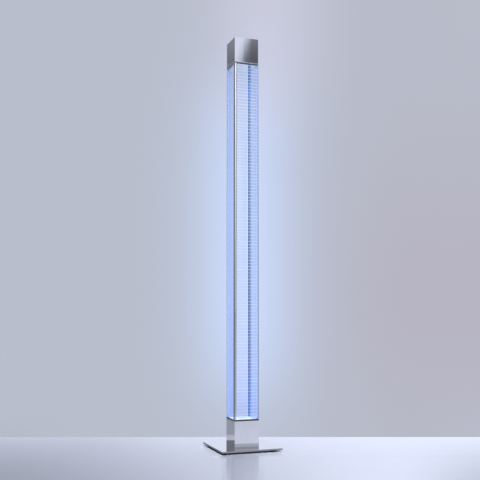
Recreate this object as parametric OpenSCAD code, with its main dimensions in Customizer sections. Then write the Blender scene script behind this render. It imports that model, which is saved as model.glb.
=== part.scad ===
// Square LED column floor lamp.
// A polished base plate on four rubber feet carries a polished square
// housing with the light source.  Four corner posts rise from a black frame
// on that housing, two of polished metal and two clear ones across from
// each other.  They hold four clear panes in slots and end in a second
// black frame under a polished cap.
// Frame: origin on the floor under the middle of the base plate, +Z up,
// the front of the lamp faces -Y.

/* [Base plate] */
// Side length of the square base plate
plate_w = 200; // [180:1:240]
// Thickness of the base plate
plate_t = 5; // [5:0.5:8]
// Height of the rubber feet under the plate
foot_h = 5; // [4:0.5:8]
// Diameter of a rubber foot
foot_d = 20; // [16:1:28]
// Distance of a foot's centre from the plate's edges
foot_inset = 23; // [16:1:30]

/* [Column] */
// Outer side length of the square column
col_w = 80; // [80:1:90]
// Column centre, left or right of the plate's middle
col_x = -16; // [-30:1:30]
// Column centre, in front of or behind the plate's middle
col_y = -50; // [-50:1:30]
// Clear height of the panes between the two black frames
glass_h = 1130.5; // [600:0.5:1500]
// Outer corner radius of housing, cap and frames
edge_r = 0.4; // [0.3:0.1:3]

/* [Lower housing] */
// Height of the polished lower housing
housing_h = 88; // [84:1:120]
// Wall of the lower housing
housing_wall = 2; // [1.6:0.1:2]
// Thickness of the black frame on the lower housing
lower_frame_t = 4.5; // [4.5:0.5:8]
// Thickness of the mounting plate inside the housing
mount_plate_t = 8; // [6:1:10]

/* [Cap] */
// Height of the polished cap
cap_h = 82; // [40:1:120]
// Wall of the cap
cap_wall = 1.5; // [1:0.1:1.5]
// Thickness of the black frame under the cap
upper_frame_t = 2; // [2:0.5:6]

/* [Posts and panes] */
// Post width seen on the front and back faces
post_w = 6; // [6:0.5:8]
// Post depth seen on the two side faces
post_d = 13; // [13:0.5:16]
// Thickness of a clear pane
pane_t = 3; // [3:0.1:3]
// How far a pane's outer face lies behind the post's outer face
pane_setback = 1; // [1:0.05:1]

/* [Controls] */
// Height of the push switch and the power inlet above the mounting plate
control_z = 14; // [12:0.5:22]
// Sideways distance of each of them from the column's middle
control_x = 14; // [13:0.5:16]
// Travel of the push button
button_travel = 2; // [1:0.1:2.5]

/* [Hidden] */
$fn = 64;
eps = 0.01;

h = col_w / 2;
z_plate = foot_h;
z_house = z_plate + plate_t;
z_mount = z_house + mount_plate_t;
z_frame = z_house + housing_h;
z_glass = z_frame + lower_frame_t;
z_uframe = z_glass + glass_h;
z_cap = z_uframe + upper_frame_t;
z_top = z_cap + cap_h;
pane_in = pane_setback + pane_t;
slot_play = 0.05;
pillar_x = 29;
pillar_y = 30;
post_hole_x = h - post_w / 2;
post_hole_y = h - 7;
foot_xy = plate_w / 2 - foot_inset;
sink_z = z_frame - 14;
sink_hole = 19.5;
board_z = sink_z + 4;
ctrl_z = z_mount + control_z;

// ---------- shared shapes ----------

module at_column() { translate([col_x, col_y, 0]) children(); }

module four(x, y) {
  for (sx = [-1, 1], sy = [-1, 1]) translate([sx * x, sy * y, 0]) children();
}

// square with round corners, centred
module round_square(w, r) {
  union() {
    square([w, w - 2 * r], center = true);
    square([w - 2 * r, w], center = true);
    for (sx = [-1, 1], sy = [-1, 1])
      translate([sx * (w / 2 - r), sy * (w / 2 - r)]) circle(r = r);
  }
}

module slab(w, r, z, t) {
  translate([0, 0, z]) linear_extrude(height = t) round_square(w, r);
}

// countersunk screw, head flush with z = 0 and shank towards +Z
module csk_up(r, head_r, head_h, len) {
  rotate_extrude() polygon([[0, 0], [head_r, 0], [r, head_h], [r, len], [0, len]]);
}

// the matching hole, a little wider
module csk_up_hole(r, head_r, head_h, len) {
  rotate_extrude() polygon([[0, -1], [head_r + 0.1, -1], [head_r + 0.1, 0],
                            [r, head_h + 0.1], [r, len], [0, len]]);
}

// pan head screw, head under z = 0, shank towards +Z
module pan_up(r, head_r, head_h, len) {
  union() {
    difference() {
      translate([0, 0, -head_h]) cylinder(r = head_r, h = head_h);
      translate([0, 0, -head_h - eps]) cylinder(r = r * 0.7, h = head_h * 0.55, $fn = 6);
    }
    cylinder(r = r, h = len);
  }
}

// insulated wire along a path with eight sides
function unit(v) = v / norm(v);
function ring0(p, d, r) =
  let(a = abs(d[2]) > 0.9 ? [1, 0, 0] : [0, 0, 1], u = unit(cross(d, a)), w = cross(d, u))
  [for (k = [0:7]) p + r * (cos(45 * k + 22.5) * u + sin(45 * k + 22.5) * w)];
function slide_ring(ring, d, v, n) = [for (q = ring) q + d * (((v - q) * n) / (d * n))];
function wire_rings(pts, ring, i) =
  i >= len(pts) ? [] :
  let(d = unit(pts[i] - pts[i - 1]),
      n = i == len(pts) - 1 ? d : unit(d + unit(pts[i + 1] - pts[i])),
      nr = slide_ring(ring, d, pts[i], n))
  concat([nr], wire_rings(pts, nr, i + 1));

module wire(pts, r) {
  first = ring0(pts[0], unit(pts[1] - pts[0]), r);
  rings = concat([first], wire_rings(pts, first, 1));
  m = len(rings);
  verts = [for (g = rings) for (q = g) q];
  faces = concat(
    [[for (k = [0:7]) k]],
    [for (i = [0:m - 2]) for (k = [0:7])
      [8 * i + k, 8 * (i + 1) + k, 8 * (i + 1) + (k + 1) % 8, 8 * i + (k + 1) % 8]],
    [[for (k = [7:-1:0]) 8 * (m - 1) + k]]);
  polyhedron(points = verts, faces = faces, convexity = 4);
}

// ---------- base ----------

module base_plate() {
  color([0.80, 0.81, 0.83])
  difference() {
    slab(plate_w, 1.5, z_plate, plate_t);
    four(foot_xy, foot_xy) translate([0, 0, z_plate - 1]) cylinder(r = 2, h = 5);
    at_column() four(pillar_x, pillar_y)
      translate([0, 0, z_plate]) csk_up_hole(2.6, 4.8, 2.3, plate_t + 1);
  }
}

module base_feet() {
  color([0.05, 0.05, 0.055])
  four(foot_xy, foot_xy)
    rotate_extrude() polygon([[4.2, 0], [foot_d / 2 - 0.8, 0], [foot_d / 2, 0.8],
      [foot_d / 2, foot_h], [2.1, foot_h], [2.1, 3], [4.2, 3]]);
}

module foot_screws() {
  color([0.62, 0.63, 0.65])
  four(foot_xy, foot_xy) translate([0, 0, 3]) pan_up(1.95, 3.8, 2.2, foot_h - 3 + 3.8);
}

module base_screws() {
  color([0.62, 0.63, 0.65])
  at_column() four(pillar_x, pillar_y) translate([0, 0, z_plate])
    difference() {
      csk_up(2.45, 4.8, 2.3, plate_t + mount_plate_t + 12);
      translate([0, 0, -eps]) cylinder(r = 1.6, h = 1.6, $fn = 6);
    }
}

// ---------- lower housing and light source ----------

module mounting_plate() {
  color([0.70, 0.71, 0.72])
  at_column() difference() {
    slab(col_w - 2 * housing_wall - 0.6, 0.8, z_house, mount_plate_t);
    four(pillar_x, pillar_y) translate([0, 0, z_house - 1]) cylinder(r = 2.6, h = mount_plate_t + 2);
    for (sx = [-1, 1]) translate([sx * 26, -12, z_mount - 6]) cylinder(r = 1.5, h = 7);
  }
}

module lower_housing() {
  color([0.82, 0.83, 0.85])
  at_column() difference() {
    slab(col_w, edge_r, z_house, housing_h);
    slab(col_w - 2 * housing_wall, 0.5, z_house - 1, housing_h + 2);
    translate([control_x, h + 1, ctrl_z]) rotate([90, 0, 0]) cylinder(r = 8.1, h = housing_wall + 2);
    translate([-control_x, h + 1, ctrl_z]) rotate([90, 0, 0]) cylinder(r = 5.6, h = housing_wall + 2);
  }
}

module support_pillars() {
  color([0.70, 0.71, 0.72])
  at_column() four(pillar_x, pillar_y) translate([0, 0, z_mount])
    difference() {
      cylinder(r = 4.5, h = z_frame - z_mount);
      translate([0, 0, -1]) cylinder(r = 2.5, h = 15);
      translate([0, 0, z_frame - z_mount - 13]) cylinder(r = 2, h = 14);
    }
}

module lower_frame() {
  color([0.06, 0.06, 0.07])
  at_column() difference() {
    slab(col_w, edge_r, z_frame, lower_frame_t);
    translate([-16, -16, z_glass - 3.5]) cube([32, 32, 5]);
    translate([-13, -13, z_frame - 1]) cube([26, 26, 8]);
    four(post_hole_x, post_hole_y) translate([0, 0, z_frame]) csk_up_hole(1.6, 2.5, 1.2, lower_frame_t + 1);
    four(pillar_x, pillar_y) translate([0, 0, z_glass]) mirror([0, 0, 1]) csk_up_hole(2.1, 3.75, 2, lower_frame_t + 1);
    four(sink_hole, sink_hole) translate([0, 0, z_frame - 1]) cylinder(r = 1.5, h = 5);
  }
}

module frame_screws() {
  color([0.62, 0.63, 0.65])
  at_column() four(pillar_x, pillar_y) translate([0, 0, z_glass]) mirror([0, 0, 1])
    difference() {
      csk_up(1.95, 3.75, 2, lower_frame_t + 10);
      translate([0, 0, -eps]) cylinder(r = 1.3, h = 1.4, $fn = 6);
    }
}

// square sheet inside the panes with its corners cut back around the posts
module notched_sheet(z, t) {
  w = col_w - 2 * pane_in - 0.6;
  nx = post_w - pane_in + 0.3;
  ny = post_d - pane_in + 0.3;
  translate([0, 0, z]) difference() {
    translate([-w / 2, -w / 2, 0]) cube([w, w, t]);
    for (sx = [-1, 1], sy = [-1, 1])
      translate([sx * (w / 2 + 5 - nx), sy * (w / 2 + 5 - ny), t / 2]) cube([10, 10, t + 2], center = true);
  }
}

module floor_reflector() {
  color([0.96, 0.97, 0.99])
  at_column() difference() {
    notched_sheet(z_glass, 1);
    translate([-14, -14, z_glass - 1]) cube([28, 28, 3]);
  }
}

module led_window() {
  color([0.80, 0.88, 1.0])
  at_column() translate([-15.8, -15.8, z_glass - 3.5]) cube([31.6, 31.6, 3.5]);
}

module led_board() {
  color([0.93, 0.94, 0.95])
  at_column() difference() {
    translate([-22, -22, board_z]) cube([44, 44, 1.6]);
    four(sink_hole, sink_hole) translate([0, 0, board_z - 1]) cylinder(r = 1.7, h = 4);
  }
}

module leds() {
  at_column() for (i = [-1:1], j = [-1:1]) translate([i * 8, j * 8, board_z + 1.6])
    color([0.95, 0.93, 0.70]) union() {
      translate([-2.5, -2.5, 0]) cube([5, 5, 1]);
      translate([0, 0, 0.5]) rotate_extrude() polygon([[0, 0], [1.8, 0], [1.8, 0.5], [1.5, 1.2], [0.8, 1.7], [0, 1.85]]);
    }
}

module heat_sink() {
  color([0.16, 0.16, 0.17])
  at_column() difference() {
    union() {
      translate([-24, -24, sink_z]) cube([48, 48, 4]);
      for (i = [0:6]) translate([-24 + i * 46.4 / 6, -24, sink_z - 14]) cube([1.6, 48, 14.5]);
    }
    four(sink_hole, sink_hole) translate([0, 0, sink_z - 1]) cylinder(r = 1.7, h = 6);
  }
}

module led_spacers() {
  color([0.72, 0.73, 0.74])
  at_column() four(sink_hole, sink_hole) translate([0, 0, board_z + 1.6])
    difference() {
      cylinder(r = 2.8, h = z_frame - board_z - 1.6);
      translate([0, 0, -1]) cylinder(r = 1.6, h = 20);
    }
}

module heat_sink_screws() {
  color([0.62, 0.63, 0.65])
  at_column() four(sink_hole, sink_hole) translate([0, 0, sink_z])
    pan_up(1.45, 2.5, 1.8, z_frame - sink_z + 3);
}

module led_driver() {
  color([0.90, 0.90, 0.88])
  at_column() difference() {
    union() {
      translate([-22, -25, z_mount]) cube([44, 26, 20]);
      translate([-29.5, -16, z_mount]) cube([59, 8, 2.5]);
    }
    for (sx = [-1, 1]) translate([sx * 26, -12, z_mount - 1]) cylinder(r = 1.7, h = 5);
  }
}

module driver_screws() {
  color([0.62, 0.63, 0.65])
  at_column() for (sx = [-1, 1]) translate([sx * 26, -12, z_mount + 2.5])
    mirror([0, 0, 1]) pan_up(1.45, 2.6, 1.8, 7.5);
}

// ---------- power inlet and push switch on the back of the housing ----------

// turns +Z into +Y and moves to the outside of the back wall
module on_back(x) { at_column() translate([x, h, ctrl_z]) rotate([-90, 0, 0]) children(); }

module power_inlet() {
  color([0.07, 0.07, 0.08])
  on_back(-control_x) union() {
    rotate_extrude() polygon([[0, -20], [5.5, -20], [5.5, 0], [7.5, 0], [7.5, 1.2], [7, 1.6],
      [2.8, 1.6], [2.8, -9], [0, -9]]);
    translate([0, 0, -9.5]) cylinder(r = 1.05, h = 9);
  }
}

module inlet_nut() {
  color([0.75, 0.76, 0.78])
  on_back(-control_x) translate([0, 0, -housing_wall - 2]) difference() {
    rotate([0, 0, 30]) cylinder(r = 8, h = 2, $fn = 6);
    translate([0, 0, -1]) cylinder(r = 5.52, h = 4);
  }
}

module switch_body() {
  color([0.78, 0.79, 0.81])
  on_back(control_x) rotate_extrude() polygon([[0, -22], [8, -22], [8, 0], [9.5, 0], [9.5, 1.2],
    [8.8, 2], [6.05, 2], [6.05, -10], [0, -10]]);
}

module switch_nut() {
  color([0.75, 0.76, 0.78])
  on_back(control_x) translate([0, 0, -housing_wall - 2.5]) difference() {
    rotate([0, 0, 30]) cylinder(r = 10.5, h = 2.5, $fn = 6);
    translate([0, 0, -1]) cylinder(r = 8.02, h = 5);
  }
}

module push_button() {
  color([0.84, 0.85, 0.87])
  on_back(control_x) rotate_extrude() polygon([[0, -4], [6, -4], [6, 3.9], [5.5, 4.4], [0, 4.4]]);
}

module button_spring() {
  color([0.70, 0.71, 0.72])
  on_back(control_x) for (i = [0:4]) translate([0, 0, -9.6 + i * 1.25])
    rotate_extrude() translate([4.2, 0]) circle(r = 0.35, $fn = 24);
}

// route of the leads between inlet, switch and driver, in the column's frame
inlet_end = h - 20;
switch_end = h - 22;
lead_top = z_mount + 29;

module power_leads() {
  color([0.75, 0.10, 0.08])
  at_column() union() {
    wire([[-control_x - 2, inlet_end, ctrl_z], [-control_x - 2, inlet_end - 5, ctrl_z],
      [-control_x, inlet_end - 7, ctrl_z], [control_x - 5, inlet_end - 7, ctrl_z],
      [control_x - 3, inlet_end - 5, ctrl_z], [control_x - 3, switch_end, ctrl_z]], 1);
    wire([[control_x + 3, switch_end, ctrl_z], [control_x + 3, switch_end - 5, ctrl_z],
      [control_x + 3, switch_end - 7, ctrl_z + 2], [control_x + 3, switch_end - 7, lead_top - 3],
      [control_x + 3, switch_end - 9, lead_top], [control_x + 3, -7, lead_top],
      [control_x + 3, -9, lead_top - 2], [control_x + 3, -9, z_mount + 20]], 1);
    wire([[-control_x + 2, inlet_end, ctrl_z + 2], [-control_x + 2, inlet_end - 3, ctrl_z + 2],
      [-control_x + 2, inlet_end - 5, ctrl_z + 4], [-control_x + 2, inlet_end - 5, lead_top - 2],
      [-control_x + 2, inlet_end - 7, lead_top], [-control_x + 2, -7, lead_top],
      [-control_x + 2, -9, lead_top - 2], [-control_x + 2, -9, z_mount + 20]], 1);
  }
}

module led_leads() {
  color([0.92, 0.92, 0.90])
  at_column() for (x = [-7, 7])
    wire([[x, -18, z_mount + 20], [x, -18, z_mount + 24], [x, -20, z_mount + 26],
      [x, -25.5, z_mount + 30], [x, -26.5, z_mount + 32], [x, -26.5, board_z + 2.6],
      [x, -25.5, board_z + 4], [x, -21.5, board_z + 4], [x, -20.2, board_z + 3],
      [x, -20.2, board_z + 1.6]], 0.8);
}

// ---------- posts and panes ----------

// cross-section of the front left post, outer corner at the origin
module post_section() {
  difference() {
    union() {
      translate([0.6, 0]) square([post_w - 0.6, post_d]);
      translate([0, 0.6]) square([post_w, post_d - 0.6]);
      translate([0.6, 0.6]) circle(r = 0.6);
    }
    translate([post_w - 3, pane_setback - slot_play]) square([4, pane_t + 2 * slot_play]);
    translate([pane_setback - slot_play, post_d - 3]) square([pane_t + 2 * slot_play, 4]);
  }
}

metal_c = [0.80, 0.81, 0.83];
clear_c = [0.68, 0.78, 0.98, 0.6];

module post(c) {
  color(c)
  difference() {
    translate([-h, -h, z_glass]) linear_extrude(height = glass_h) post_section();
    translate([-post_hole_x, -post_hole_y, z_glass - 1]) cylinder(r = 1.5, h = 15);
    translate([-post_hole_x, -post_hole_y, z_uframe - 14]) cylinder(r = 1.5, h = 15);
  }
}

module corner_post_front_left() { at_column() post(metal_c); }
module corner_post_front_right() { at_column() mirror([1, 0, 0]) post(clear_c); }
module corner_post_back_left() { at_column() mirror([0, 1, 0]) post(clear_c); }
module corner_post_back_right() { at_column() mirror([1, 0, 0]) mirror([0, 1, 0]) post(metal_c); }

module lower_post_screws() {
  color([0.62, 0.63, 0.65])
  at_column() four(post_hole_x, post_hole_y) translate([0, 0, z_frame])
    difference() {
      csk_up(1.45, 2.5, 1.2, lower_frame_t + 11);
      translate([0, 0, -eps]) cylinder(r = 1, h = 1.2, $fn = 6);
    }
}

module upper_post_screws() {
  color([0.62, 0.63, 0.65])
  at_column() four(post_hole_x, post_hole_y) translate([0, 0, z_cap]) mirror([0, 0, 1])
    difference() {
      csk_up(1.45, 2.5, 1.2, upper_frame_t + 11);
      translate([0, 0, -eps]) cylinder(r = 1, h = 1.2, $fn = 6);
    }
}

pane_h = glass_h - 0.3;
pane_c = [0.72, 0.82, 1.0, 0.45];

// pane on the -Y side
module wide_pane() {
  w = col_w - 2 * (post_w - 3) - 0.4;
  translate([-w / 2, -h + pane_setback, z_glass]) cube([w, pane_t, pane_h]);
}

// pane on the -X side
module side_pane() {
  w = col_w - 2 * (post_d - 3) - 0.4;
  translate([-h + pane_setback, -w / 2, z_glass]) cube([pane_t, w, pane_h]);
}

module front_pane() { color(pane_c) at_column() wide_pane(); }
module back_pane() { color(pane_c) at_column() mirror([0, 1, 0]) wide_pane(); }
module left_pane() { color(pane_c) at_column() side_pane(); }
module right_pane() { color(pane_c) at_column() mirror([1, 0, 0]) side_pane(); }

// ---------- top ----------

module top_reflector() {
  color([0.85, 0.87, 0.90])
  at_column() notched_sheet(z_uframe - 2, 2);
}

module upper_frame() {
  color([0.06, 0.06, 0.07])
  at_column() difference() {
    slab(col_w, edge_r, z_uframe, upper_frame_t);
    four(post_hole_x, post_hole_y) translate([0, 0, z_cap]) mirror([0, 0, 1]) csk_up_hole(1.6, 2.5, 1.2, upper_frame_t + 1);
    for (a = [0:90:270]) rotate([0, 0, a]) translate([h - 5, 0, z_uframe - 1]) cylinder(r = 2, h = upper_frame_t + 2);
  }
}

module cap_bracket() {
  color([0.70, 0.71, 0.72])
  at_column() difference() {
    slab(col_w - 2 * cap_wall - 0.5, 1, z_cap, 18);
    slab(col_w - 2 * cap_wall - 14, 1, z_cap - 1, 20);
    for (a = [0:90:270]) rotate([0, 0, a]) translate([h - 5, 0, z_cap - 1]) cylinder(r = 2.1, h = 20);
    for (sx = [-1, 1]) translate([sx * 20, h, z_cap + 9]) rotate([90, 0, 0]) cylinder(r = 2, h = 12);
  }
}

module bracket_screws() {
  color([0.62, 0.63, 0.65])
  at_column() for (a = [0:90:270]) rotate([0, 0, a]) translate([h - 5, 0, z_cap + 18])
    mirror([0, 0, 1]) pan_up(1.95, 3.2, 2.4, 18 + upper_frame_t - 0.5);
}

module top_cap() {
  color([0.82, 0.83, 0.85])
  at_column() difference() {
    slab(col_w, edge_r, z_cap, cap_h);
    slab(col_w - 2 * cap_wall, 1, z_cap - 1, cap_h + 1 - cap_wall);
    for (sx = [-1, 1]) translate([sx * 20, h + 1, z_cap + 9]) rotate([90, 0, 0]) cylinder(r = 2.1, h = cap_wall + 2);
  }
}

module cap_screws() {
  color([0.75, 0.76, 0.78])
  at_column() for (sx = [-1, 1]) translate([sx * 20, h, z_cap + 9]) rotate([90, 0, 0])
    pan_up(1.95, 3.4, 1.8, 8);
}

base_plate();
base_feet();
foot_screws();
base_screws();
mounting_plate();
lower_housing();
support_pillars();
lower_frame();
frame_screws();
floor_reflector();
led_window();
led_board();
leds();
heat_sink();
led_spacers();
heat_sink_screws();
led_driver();
driver_screws();
power_inlet();
inlet_nut();
switch_body();
switch_nut();
push_button();
button_spring();
power_leads();
led_leads();
corner_post_front_left();
corner_post_front_right();
corner_post_back_left();
corner_post_back_right();
lower_post_screws();
upper_post_screws();
front_pane();
back_pane();
left_pane();
right_pane();
top_reflector();
upper_frame();
cap_bracket();
bracket_screws();
top_cap();
cap_screws();
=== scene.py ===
import math

import bmesh
import bpy
from mathutils import Matrix, Vector

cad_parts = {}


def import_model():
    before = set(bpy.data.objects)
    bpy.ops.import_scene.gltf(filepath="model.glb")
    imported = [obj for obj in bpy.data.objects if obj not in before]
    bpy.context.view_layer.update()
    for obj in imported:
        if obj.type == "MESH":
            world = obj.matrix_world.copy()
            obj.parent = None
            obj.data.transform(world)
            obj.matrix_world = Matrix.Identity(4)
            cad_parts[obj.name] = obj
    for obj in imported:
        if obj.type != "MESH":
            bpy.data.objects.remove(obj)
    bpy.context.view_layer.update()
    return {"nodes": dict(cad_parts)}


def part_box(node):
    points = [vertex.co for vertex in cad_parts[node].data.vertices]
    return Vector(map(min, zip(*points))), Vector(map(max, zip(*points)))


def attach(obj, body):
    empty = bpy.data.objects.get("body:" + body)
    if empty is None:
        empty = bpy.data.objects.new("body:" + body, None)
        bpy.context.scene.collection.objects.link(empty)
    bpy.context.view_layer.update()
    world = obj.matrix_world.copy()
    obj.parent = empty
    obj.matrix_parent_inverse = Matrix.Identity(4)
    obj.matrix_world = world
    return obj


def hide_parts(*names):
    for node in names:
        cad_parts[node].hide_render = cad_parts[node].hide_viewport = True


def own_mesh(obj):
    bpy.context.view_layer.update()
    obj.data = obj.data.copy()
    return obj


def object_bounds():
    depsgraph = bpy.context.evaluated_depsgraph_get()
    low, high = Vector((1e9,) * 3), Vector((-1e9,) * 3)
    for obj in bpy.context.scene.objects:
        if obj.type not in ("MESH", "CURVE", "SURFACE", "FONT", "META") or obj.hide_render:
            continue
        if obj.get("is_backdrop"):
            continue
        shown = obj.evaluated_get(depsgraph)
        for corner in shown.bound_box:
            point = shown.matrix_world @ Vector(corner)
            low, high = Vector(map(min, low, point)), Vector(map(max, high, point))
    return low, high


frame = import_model()
nodes = frame["nodes"]
scene = bpy.context.scene
MM = 0.001

# ---------------------------------------------------------------- camera
# Fitted to the straight edges of plate, housing, posts and cap.
YAW, PITCH = 0.340908, 0.0805456
EYE = Vector((-0.85575, -2.39369, 0.43288))
HEAD = Vector((math.sin(YAW), math.cos(YAW), 0.0))   # level heading of the camera
SIDE = Vector((math.cos(YAW), -math.sin(YAW), 0.0))  # to the right of it
FOCAL = 778.4806                                     # focal length in pixels of a 480 frame

cam_data = bpy.data.cameras.new("camera")
cam_data.sensor_width = 36.0
cam_data.lens = FOCAL / 480.0 * 36.0
cam_data.shift_y = 10.0 / 480.0
cam_data.clip_start, cam_data.clip_end = 0.05, 60.0
cam = bpy.data.objects.new("camera", cam_data)
scene.collection.objects.link(cam)
look = HEAD * math.cos(PITCH) + Vector((0, 0, math.sin(PITCH)))
cam.location = EYE
cam.rotation_mode = "QUATERNION"
cam.rotation_quaternion = look.to_track_quat("-Z", "Y")
scene.camera = cam

scene.view_settings.view_transform = "Standard"
scene.view_settings.look = "None"
scene.view_settings.exposure = 0.0
scene.view_settings.gamma = 1.0
scene.cycles.transparent_max_bounces = 32
scene.cycles.max_bounces = 12
scene.cycles.glossy_bounces = 8


# ---------------------------------------------------------------- node graphs
class Num:
    """A number in a node tree. Arithmetic on it adds Math nodes."""

    def __init__(self, tree, socket):
        self.tree, self.socket = tree, socket

    def op(self, kind, *others, clamp=False):
        n = self.tree.nodes.new("ShaderNodeMath")
        n.operation, n.use_clamp = kind, clamp
        for i, v in enumerate((self,) + others):
            if isinstance(v, Num):
                self.tree.links.new(v.socket, n.inputs[i])
            else:
                n.inputs[i].default_value = v
        return Num(self.tree, n.outputs[0])

    def __add__(self, o):
        return self.op("ADD", o)

    def __sub__(self, o):
        return self.op("SUBTRACT", o)

    def __mul__(self, o):
        return self.op("MULTIPLY", o)

    def __truediv__(self, o):
        return self.op("DIVIDE", o)

    __radd__, __rmul__ = __add__, __mul__

    def __neg__(self):
        return self.op("MULTIPLY", -1.0)

    def abs(self):
        return self.op("ABSOLUTE")

    def clamp(self):
        return self.op("ADD", 0.0, clamp=True)

    def step(self, a, b, lo=0.0, hi=1.0):
        """Smooth from lo at a to hi at b."""
        n = self.tree.nodes.new("ShaderNodeMapRange")
        n.interpolation_type = "SMOOTHSTEP"
        if a > b:
            a, b, lo, hi = b, a, hi, lo
        self.tree.links.new(self.socket, n.inputs["Value"])
        for name, v in (("From Min", a), ("From Max", b), ("To Min", lo), ("To Max", hi)):
            n.inputs[name].default_value = v
        return Num(self.tree, n.outputs["Result"])

    def line(self, a, b, lo=0.0, hi=1.0):
        """Straight from lo at a to hi at b, level outside."""
        n = self.tree.nodes.new("ShaderNodeMapRange")
        if a > b:
            a, b, lo, hi = b, a, hi, lo
        self.tree.links.new(self.socket, n.inputs["Value"])
        for name, v in (("From Min", a), ("From Max", b), ("To Min", lo), ("To Max", hi)):
            n.inputs[name].default_value = v
        return Num(self.tree, n.outputs["Result"])

    def hump(self, centre, width):
        """1 at centre, falling off as a bell of that half width."""
        d = (self - centre) / width
        return (d * d * -1.0).op("EXPONENT")


def sock(v):
    return v.socket if isinstance(v, Num) else v


def new_mat(name):
    m = bpy.data.materials.new(name)
    m.use_nodes = True
    m.node_tree.nodes.clear()
    return m, m.node_tree


def xyz(tree, vector):
    n = tree.nodes.new("ShaderNodeSeparateXYZ")
    tree.links.new(vector, n.inputs[0])
    return [Num(tree, o) for o in n.outputs]


def place(tree):
    """The piece's own coordinates, which are the frame's metres at rest."""
    return tree.nodes.new("ShaderNodeTexCoord").outputs["Object"]


def stretched(tree, vector, scale):
    n = tree.nodes.new("ShaderNodeMapping")
    n.inputs["Scale"].default_value = scale
    tree.links.new(vector, n.inputs["Vector"])
    return n.outputs[0]


def noise(tree, vector, scale=1.0, detail=2.0, rough=0.5, distortion=0.0):
    n = tree.nodes.new("ShaderNodeTexNoise")
    for name, v in (("Scale", scale), ("Detail", detail), ("Roughness", rough), ("Distortion", distortion)):
        n.inputs[name].default_value = v
    tree.links.new(vector, n.inputs["Vector"])
    return Num(tree, n.outputs[0])


def cells(tree, vector, scale, feature="F1"):
    n = tree.nodes.new("ShaderNodeTexVoronoi")
    n.feature = feature
    n.inputs["Scale"].default_value = scale
    tree.links.new(vector, n.inputs["Vector"])
    return Num(tree, n.outputs["Distance"])


def tone(tree, fac, a, b):
    """Colour a at 0, b at 1."""
    n = tree.nodes.new("ShaderNodeMix")
    n.data_type = "RGBA"
    for i, v in ((0, fac), (6, a), (7, b)):
        if isinstance(v, Num) or isinstance(v, bpy.types.NodeSocket):
            tree.links.new(sock(v), n.inputs[i])
        elif i:
            n.inputs[i].default_value = (*v, 1.0)
        else:
            n.inputs[i].default_value = v
    return n.outputs[2]


def times(tree, colour, factor):
    """Colour times a number."""
    n = tree.nodes.new("ShaderNodeVectorMath")
    n.operation = "SCALE"
    if isinstance(colour, tuple):
        n.inputs[0].default_value = colour
    else:
        tree.links.new(colour, n.inputs[0])
    if isinstance(factor, Num):
        tree.links.new(factor.socket, n.inputs["Scale"])
    else:
        n.inputs["Scale"].default_value = factor
    return n.outputs[0]


def bump(tree, height, distance, strength=1.0, after=None):
    n = tree.nodes.new("ShaderNodeBump")
    n.inputs["Strength"].default_value = strength
    n.inputs["Distance"].default_value = distance
    tree.links.new(height.socket, n.inputs["Height"])
    if after is not None:
        tree.links.new(after, n.inputs["Normal"])
    return n.outputs[0]


def principled(tree, colour, rough, metallic=0.0, normal=None, **more):
    p = tree.nodes.new("ShaderNodeBsdfPrincipled")
    out = tree.nodes.new("ShaderNodeOutputMaterial")
    tree.links.new(p.outputs[0], out.inputs["Surface"])
    for name, v in (("Base Color", colour), ("Roughness", rough), ("Metallic", metallic), *more.items()):
        name = name.replace("_", " ")
        if isinstance(v, (Num, bpy.types.NodeSocket)):
            tree.links.new(sock(v), p.inputs[name])
        else:
            p.inputs[name].default_value = (*v, 1.0) if isinstance(v, tuple) else v
    if normal is not None:
        tree.links.new(normal, p.inputs["Normal"])
    return p


def surface(tree, socket):
    out = tree.nodes.new("ShaderNodeOutputMaterial")
    tree.links.new(socket, out.inputs["Surface"])


# ---------------------------------------------------------------- materials
def polished(name, dark, light, rough, grain=(900, 900, 30), wave=2.5e-5, smudge=0.05, under=None, lip=None):
    """Mirror-polished sheet: faint directional polish, soft smudges and a trace of waviness.
    Below the height under it is a black underside, which also serves as painted shade in the gap beneath the sheet;
    below the height lip a satin edge."""
    m, t = new_mat(name)
    v = place(t)
    streak = noise(t, stretched(t, v, grain), 1.0, 3.0, 0.6)
    cloud = noise(t, v, 14.0, 3.0, 0.55)
    spots = noise(t, v, 55.0, 4.0, 0.62).step(0.56, 0.74)
    hair = noise(t, stretched(t, v, (2600, 2600, 60)), 1.0, 1.0).step(0.66, 0.72)
    r = streak * 0.025 + cloud * 0.02 + spots * smudge + hair * 0.03 + (rough - 0.02)
    wav = noise(t, v, 22.0, 1.0)
    fine = noise(t, stretched(t, v, grain), 1.0, 2.0)
    n = bump(t, fine, 2.0e-7, after=bump(t, wav, wave))
    colour = tone(t, (cloud * 0.6 + streak * 0.4).step(0.3, 0.7), dark, light)
    if lip is not None:
        satin = xyz(t, v)[2].step(lip + 0.0002, lip - 0.0002)
        dull = tuple(v * 0.78 for v in light)
        principled(t, tone(t, satin, colour, dull), r + satin * (streak * 0.1 + 0.5), 1.0, n)
    elif under is None:
        principled(t, colour, r, 1.0, n)
    else:
        # painted shade: below the height under, a black underside makes the gap under the plate read as dark
        black = xyz(t, v)[2].step(under + 0.00015, under)
        principled(t, tone(t, black, colour, (0.012, 0.012, 0.013)), r + black * 0.4, black * -1.0 + 1.0, n)
    return m


def brushed(name, dark, light, rough, grain, depth=6e-7):
    """Satin metal with fine straight lines."""
    m, t = new_mat(name)
    v = place(t)
    lines = noise(t, stretched(t, v, grain), 1.0, 4.0, 0.7)
    cloud = noise(t, v, 30.0, 2.0)
    r = lines * 0.12 + cloud * 0.06 + (rough - 0.09)
    principled(t, tone(t, (lines * 0.65 + cloud * 0.35).step(0.32, 0.68), dark, light), r, 1.0,
               bump(t, lines, depth))
    return m


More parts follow.
